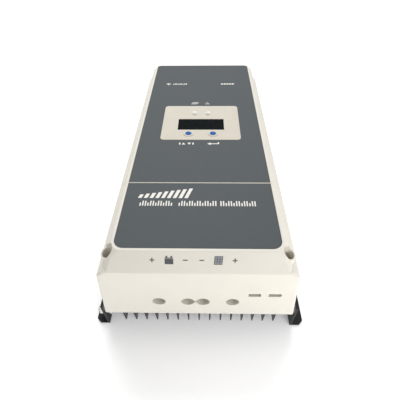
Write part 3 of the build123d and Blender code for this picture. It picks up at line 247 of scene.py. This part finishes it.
# Width in millimetres of each node's rounded edges
BEVELS = {
    "upper_housing": 0.7, "terminal_cover": 0.7, "display_bezel": 0.35, "heatsink": 0.25,
    "mounting_rail_left": 0.3, "mounting_rail_right": 0.3, "terminal_block": 0.35,
    "communication_jack": 0.25, "sensor_connector": 0.25, "busbars": 0.25, "ground_nut": 0.2,
}
DEFAULT_BEVEL = 0.12
WELD_GAP = 0.002
FLAT_ANGLE = math.radians(0.3)
SHARP_ANGLE = math.radians(28)


def soften(obj, width_mm):
    """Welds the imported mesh, clears flat triangles and rounds its sharp edges."""
    weld = obj.modifiers.new("weld", "WELD")
    weld.merge_threshold = WELD_GAP * MM
    flats = obj.modifiers.new("flats", "DECIMATE")
    flats.decimate_type = "DISSOLVE"
    flats.angle_limit = FLAT_ANGLE
    bevel = obj.modifiers.new("bevel", "BEVEL")
    bevel.width = width_mm * MM
    bevel.segments = 3
    bevel.limit_method = "ANGLE"
    bevel.angle_limit = SHARP_ANGLE
    normals = obj.modifiers.new("normals", "WEIGHTED_NORMAL")
    normals.weight = 90
    for polygon in obj.data.polygons:
        polygon.use_smooth = True


slot_of = {part["node"]: part["material_slot"] for part in frame["record"]["subparts"]}
for name, obj in nodes.items():
    obj.data.materials.clear()
    obj.data.materials.append(MATERIALS[slot_of[name]])
    soften(obj, BEVELS.get(name, DEFAULT_BEVEL))


# ---- Printed marks ----

PRINT = 0.06 * MM


def rectangle(x0, x1, y0, y1, slant=0.0):
    """Corners of a rectangle that leans to the right by slant times its height."""
    lean = slant * (y1 - y0)
    return [(x0, y0), (x1, y0), (x1 + lean, y1), (x0 + lean, y1)]


def regular(x, y, radius, count, turn=0.0):
    step = 2 * math.pi / count
    angles = [turn + i * step for i in range(count)]
    return [(x + radius * math.cos(angle), y + radius * math.sin(angle)) for angle in angles]


def plus(x, y, reach, arm):
    return [
        rectangle(x - reach, x + reach, y - arm, y + arm),
        rectangle(x - arm, x + arm, y + arm, y + reach),
        rectangle(x - arm, x + arm, y - reach, y - arm),
    ]


def minus(x, y, reach, arm):
    return [rectangle(x - reach, x + reach, y - arm, y + arm)]


def solar_panel(x, y, width, height, slant, bar):
    """A leaning grid, the usual pictogram for a solar panel."""
    shapes = []
    for i in range(4):
        y0 = y - height / 2 + i * (height - bar) / 3
        lean = slant * (y0 - y)
        shapes.append(rectangle(x - width / 2 + lean, x + width / 2 + lean, y0, y0 + bar, slant))
    for i in range(4):
        x0 = x - width / 2 + i * (width - bar) / 3
        for j in range(3):
            y0 = y - height / 2 + j * (height - bar) / 3 + bar
            y1 = y - height / 2 + (j + 1) * (height - bar) / 3
            lean = slant * (y0 - y)
            shapes.append(rectangle(x0 + lean, x0 + bar + lean, y0, y1, slant))
    return shapes


def battery(x, y, width, height):
    """A battery seen from the side, with two posts."""
    post = width * 0.2
    return [
        rectangle(x - width / 2, x + width / 2, y - height / 2, y + height * 0.16),
        rectangle(x - width / 2, x + width / 2, y + height * 0.2, y + height * 0.3),
        rectangle(x - width / 2 + post * 0.6, x - width / 2 + post * 1.6, y + height * 0.3, y + height / 2),
        rectangle(x + width / 2 - post * 1.6, x + width / 2 - post * 0.6, y + height * 0.3, y + height / 2),
    ]


def mark(name, shapes, place, body, material):
    """A thin printed mark made of flat shapes given in millimetres on the plane of place."""
    bm = bmesh.new()
    for shape in shapes:
        low = [bm.verts.new((x * MM, y * MM, 0)) for x, y in shape]
        high = [bm.verts.new((x * MM, y * MM, PRINT)) for x, y in shape]
        bm.faces.new(high)
        bm.faces.new(reversed(low))
        for i in range(len(shape)):
            j = (i + 1) % len(shape)
            bm.faces.new((low[i], low[j], high[j], high[i]))
    bmesh.ops.recalc_face_normals(bm, faces=bm.faces)
    mesh = bpy.data.meshes.new(name)
    bm.to_mesh(mesh)
    bm.free()
    mesh.transform(place)
    mesh.materials.append(MATERIALS[material])
    obj = bpy.data.objects.new(name, mesh)
    bpy.context.scene.collection.objects.link(obj)
    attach(obj, body)
    return obj


# Marks on the panel are laid out from the middle of the front end, in millimetres
FRONT = cad_box[0][1]
lower_plane = Matrix.Translation((0, FRONT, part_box("lower_panel_sheet")[1].z))
upper_plane = Matrix.Translation((0, FRONT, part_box("upper_panel_sheet")[1].z))

SLANT = 0.35
GAUGE_BARS = 9
GAUGE_X0 = -62.0
GAUGE_Y0 = 76.0
GAUGE_HEIGHT = 14.0
GAUGE_PITCH = 5.9
GAUGE_BAR = 3.6
GAUGE_FIRST = 0.36
GAUGE_RISE = 0.08
SCALE_TICKS = dict(x0=-59, x1=60, y0=65.2, y1=72.0, pitch=2.6, width=1.3, gaps=((-27, -21.5), (16.5, 21)))
SHORT_TICK = 0.62
ARROW_Y = 168.9
ARROW_SIZE = 2.3
SUN_RADIUS = 1.9
SUN_RAYS = 8
RAY_START = 2.6
RAY_END = 4.0
RAY_HALF = 0.35
LEVEL_BLOCKS = 5
LEVEL_X0 = 29
LEVEL_PITCH = 4.2
LEVEL_BLOCK = 3


def gauge_shapes():
    """A leaning level gauge of bars that rise to the right."""
    shapes = []
    for i in range(GAUGE_BARS):
        x = GAUGE_X0 + i * GAUGE_PITCH
        top = GAUGE_Y0 + GAUGE_HEIGHT * (GAUGE_FIRST + GAUGE_RISE * i)
        shapes.append(rectangle(x, x + GAUGE_BAR, GAUGE_Y0, top, SLANT))
    return shapes


def tick_row(x0, x1, y0, y1, pitch, width, gaps=()):
    """Upright ticks with every third one short, like the marks of a scale."""
    shapes = []
    count = int((x1 - x0) / pitch)
    for i in range(count):
        x = x0 + i * pitch
        if any(low < x < high for low, high in gaps):
            continue
        top = y1 if i % 3 else y0 + (y1 - y0) * SHORT_TICK
        shapes.append(rectangle(x, x + width, y0, top))
    return shapes


mark("print_headline", gauge_shapes(), lower_plane, "terminal_cover", "ink_light")
mark("print_scale", tick_row(**SCALE_TICKS), lower_plane, "terminal_cover", "ink_light")
mark("print_panel_icon", solar_panel(-9.2, 265.8, 8.4, 5.6, 0.45, 0.5), upper_plane, "base", "ink_light")


def triangle_outline(x, y, size, bar):
    """Three bars that meet in an upright triangle, with a dot inside."""
    corners = regular(x, y - size * 0.12, size, 3, math.pi / 2)
    inner = regular(x, y - size * 0.12, size - 2 * bar, 3, math.pi / 2)
    bars = [[corners[i], corners[(i + 1) % 3], inner[(i + 1) % 3], inner[i]] for i in range(3)]
    return bars + [regular(x, y - size * 0.15, bar * 0.8, 8)]


mark("print_fault_icon", triangle_outline(8.4, 265.4, 3.6, 0.55), upper_plane, "base", "ink_light")


def arrow(x, y, size, direction):
    base_y = y - direction * size * 0.8
    return [(x - size, base_y), (x + size, base_y), (x, y + direction * size * 0.9)]


def select_shapes():
    """Arrows up and down between two short bars, for the button that steps through the display."""
    shapes = [arrow(-20.5, ARROW_Y, ARROW_SIZE, 1), arrow(-13.6, ARROW_Y, ARROW_SIZE, -1)]
    for x0, x1 in ((-26.0, -24.2), (-9.8, -8.0)):
        shapes.append(rectangle(x0, x1, 167.0, 170.8))
    return shapes


def enter_shapes():
    """An arrow that turns back to the left, for the button that confirms."""
    head = [(8.2, 168.6), (12.6, 166.2), (12.6, 171.0)]
    return [head, rectangle(12.6, 21.2, 167.9, 169.3), rectangle(21.2, 22.8, 167.9, 171.8)]


def sun_shapes(x, y):
    """A disc with eight rays."""
    shapes = [regular(x, y, SUN_RADIUS, 20)]
    for k in range(SUN_RAYS):
        turn = Matrix.Rotation(k * 2 * math.pi / SUN_RAYS, 2)
        points = [turn @ Vector(p) for p in rectangle(RAY_START, RAY_END, -RAY_HALF, RAY_HALF)]
        shapes.append([(x + p.x, y + p.y) for p in points])
    return shapes


def level_shapes():
    """A leaning row of five equal blocks."""
    blocks = []
    for i in range(LEVEL_BLOCKS):
        x = LEVEL_X0 + i * LEVEL_PITCH
        blocks.append(rectangle(x, x + LEVEL_BLOCK, 323, 326.9, SLANT))
    return blocks


mark("print_select_icon", select_shapes(), upper_plane, "base", "ink_light")
mark("print_enter_icon", enter_shapes(), upper_plane, "base", "ink_light")
sun_and_ticks = sun_shapes(-52.0, 325.0) + tick_row(-45.0, -22.0, 322.8, 327.2, 2.5, 1.4)
mark("print_sun_icon", sun_and_ticks, upper_plane, "base", "ink_light")
mark("print_level_icon", level_shapes(), upper_plane, "base", "ink_light")

# The lip slopes down from the panel to the ridge above the cable entries
LIP_RUN = 11.0
LIP_DROP = 19.0
LIP_RIDGE_Z = 122.0
lip_angle = math.atan2(LIP_DROP, LIP_RUN)
lip_plane = (
    Matrix.Translation((0, FRONT, LIP_RIDGE_Z * MM))
    @ Matrix.Rotation(lip_angle, 4, "X")
    @ Matrix.Translation((0, 0, 0.02 * MM))
)
raised_lip_plane = lip_plane @ Matrix.Translation((0, 0, 0.03 * MM))
LIP_MARK_Y = 13.3
SIGN_HALF_BAR = 0.5
LIP_MARKS = {
    "print_battery_plus": plus(-40.0, LIP_MARK_Y, 2.2, SIGN_HALF_BAR),
    "print_battery": battery(-25.0, LIP_MARK_Y, 7.6, 8.0),
    "print_battery_minus": minus(-10.6, LIP_MARK_Y, 2.1, SIGN_HALF_BAR),
    "print_panel_minus": minus(3.9, LIP_MARK_Y, 2.1, SIGN_HALF_BAR),
    "print_panel_plus": plus(33.1, LIP_MARK_Y, 2.2, SIGN_HALF_BAR),
}
for mark_name, shapes in LIP_MARKS.items():
    mark(mark_name, shapes, lip_plane, "terminal_cover", "ink_dark")
mark("print_solar_fill", [rectangle(14.5, 21.9, LIP_MARK_Y - 4.0, LIP_MARK_Y + 4.0, 0.08)], lip_plane,
     "terminal_cover", "ink_grey")
mark("print_solar_panel", solar_panel(18.6, LIP_MARK_Y, 7.4, 8.2, 0.08, 0.6), raised_lip_plane,
     "terminal_cover", "ink_dark")


# ---- Floor, light and camera ----

FLOOR_HALF = 6.0
FLOOR_GAP = 0.0002
FLOOR_GLOW = 0.22
WORLD_STRENGTH = 0.53


def stage_floor():
    mesh = bpy.data.meshes.new("floor")
    half = FLOOR_HALF
    corners = [(-half, -half, 0), (half, -half, 0), (half, half, 0), (-half, half, 0)]
    mesh.from_pydata(corners, [], [(0, 1, 2, 3)])
    floor = bpy.data.objects.new("floor", mesh)
    floor.location.z = -FLOOR_GAP
    bpy.context.scene.collection.objects.link(floor)
    shader = Shader("floor", (1.0, 1.0, 1.0), 0.9)
    shader.set("Emission Color", (1, 1, 1, 1)).set("Emission Strength", FLOOR_GLOW)
    mesh.materials.append(shader.material)


def area_light(name, location, target, size, watts):
    data = bpy.data.lights.new(name, "AREA")
    data.shape = "RECTANGLE"
    data.size, data.size_y = size
    data.energy = watts
    light = bpy.data.objects.new(name, data)
    light.location = location
    light.rotation_euler = (Vector(target) - Vector(location)).to_track_quat("-Z", "Y").to_euler()
    bpy.context.scene.collection.objects.link(light)


stage_floor()
world = bpy.data.worlds.new("studio")
bpy.context.scene.world = world
world.use_nodes = True
world.node_tree.nodes["Background"].inputs["Color"].default_value = (1, 1, 1, 1)
world.node_tree.nodes["Background"].inputs["Strength"].default_value = WORLD_STRENGTH
area_light("front", (0.34, -0.62, 0.24), (0.07, -0.2, 0.09), (0.3, 0.2), 1.3)
area_light("right", (1.1, 0.1, 0.6), (0, 0, 0.08), (0.8, 0.6), 0.5)
area_light("top", (-0.1, 1.0, 1.5), (0, 0, 0.1), (1.4, 0.9), 21)

CAMERA_LENS_MM = 28.512
CAMERA_SENSOR_MM = 36.0
CAMERA_PITCH = math.radians(45.95)
CAMERA_YAW = math.radians(-1.64)
CAMERA_ROLL = math.radians(0.90)
CAMERA_PLACE = (0.0076, FRONT - 0.1484, 0.3700)


def make_camera():
    """Camera that looks down at the cable entries and along the casing."""
    data = bpy.data.cameras.new("camera")
    data.sensor_width = CAMERA_SENSOR_MM
    data.lens = CAMERA_LENS_MM
    camera = bpy.data.objects.new("camera", data)
    forward = Vector((
        math.sin(CAMERA_YAW) * math.cos(CAMERA_PITCH),
        math.cos(CAMERA_YAW) * math.cos(CAMERA_PITCH),
        -math.sin(CAMERA_PITCH),
    ))
    level = Vector((math.cos(CAMERA_YAW), -math.sin(CAMERA_YAW), 0))
    down = forward.cross(level)
    right = math.cos(CAMERA_ROLL) * level + math.sin(CAMERA_ROLL) * down
    lower = -math.sin(CAMERA_ROLL) * level + math.cos(CAMERA_ROLL) * down
    turn = Matrix((right, -lower, -forward)).transposed().to_4x4()
    camera.matrix_world = Matrix.Translation(CAMERA_PLACE) @ turn
    bpy.context.scene.collection.objects.link(camera)
    bpy.context.scene.camera = camera


make_camera()
bpy.context.scene.view_settings.view_transform = "Standard"
